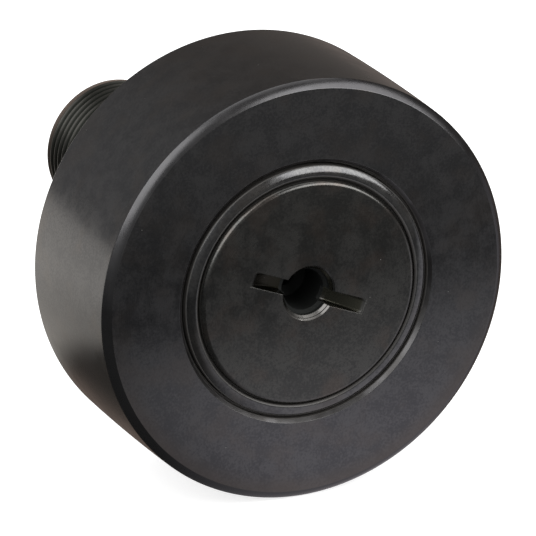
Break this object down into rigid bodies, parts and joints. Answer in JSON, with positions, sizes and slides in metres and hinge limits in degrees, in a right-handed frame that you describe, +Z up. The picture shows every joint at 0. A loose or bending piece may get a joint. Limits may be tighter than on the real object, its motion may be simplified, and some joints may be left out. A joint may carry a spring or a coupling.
{
  "type": "cam follower",
  "caption": "Stud-type track roller: a crowned outer ring that turns on cylindrical rollers round a threaded stud with a slotted head and grease ports.",
  "frame": {"origin": "on the axis of rotation, in the plane of the rear shoulder that is clamped to the machine wall", "axes": "+Y along the stud, from the shoulder towards the threaded end; the ring and the slotted head are on the -Y side; +Z up"},
  "size_m": [0.072, 0.08, 0.072],
  "materials": {
    "ring_black_oxide": "satin black oxide, ground tread",
    "stud_black_oxide": "matt black oxide, turned",
    "shield_black_steel": "smooth blackened sheet steel",
    "roller_bright_steel": "bright ground bearing steel"
  },
  "bodies": {
    "stud_body": {"stud": "stud_black_oxide", "rear_flange_ring": "stud_black_oxide"},
    "ring_body": {"outer_ring": "ring_black_oxide", "front_shield": "shield_black_steel", "rear_shield": "shield_black_steel"},
    "front_row": {"front_roller_01": "roller_bright_steel", "front_roller_02": "roller_bright_steel", "front_roller_03": "roller_bright_steel", "front_roller_04": "roller_bright_steel", "front_roller_05": "roller_bright_steel", "front_roller_06": "roller_bright_steel", "front_roller_07": "roller_bright_steel", "front_roller_08": "roller_bright_steel", "front_roller_09": "roller_bright_steel", "front_roller_10": "roller_bright_steel", "front_roller_11": "roller_bright_steel", "front_roller_12": "roller_bright_steel", "front_roller_13": "roller_bright_steel", "front_roller_14": "roller_bright_steel", "front_roller_15": "roller_bright_steel", "front_roller_16": "roller_bright_steel"},
    "rear_row": {"rear_roller_01": "roller_bright_steel", "rear_roller_02": "roller_bright_steel", "rear_roller_03": "roller_bright_steel", "rear_roller_04": "roller_bright_steel", "rear_roller_05": "roller_bright_steel", "rear_roller_06": "roller_bright_steel", "rear_roller_07": "roller_bright_steel", "rear_roller_08": "roller_bright_steel", "rear_roller_09": "roller_bright_steel", "rear_roller_10": "roller_bright_steel", "rear_roller_11": "roller_bright_steel", "rear_roller_12": "roller_bright_steel", "rear_roller_13": "roller_bright_steel", "rear_roller_14": "roller_bright_steel", "rear_roller_15": "roller_bright_steel", "rear_roller_16": "roller_bright_steel"}
  },
  "joints": [
    {"name": "ring_spin", "type": "hinge", "parent": "stud_body", "child": "ring_body", "pos_m": [0, -0.0152, 0], "axis": [0, 1, 0], "continuous": true},
    {"name": "front_row_orbit", "type": "hinge", "parent": "stud_body", "child": "front_row", "pos_m": [0, -0.02135, 0], "axis": [0, 1, 0], "continuous": true},
    {"name": "rear_row_orbit", "type": "hinge", "parent": "stud_body", "child": "rear_row", "pos_m": [0, -0.00905, 0], "axis": [0, 1, 0], "continuous": true}
  ],
  "couplings": [
    {"joint": "front_row_orbit", "follows": "ring_spin", "ratio": 0.6},
    {"joint": "rear_row_orbit", "follows": "ring_spin", "ratio": 0.6}
  ]
}
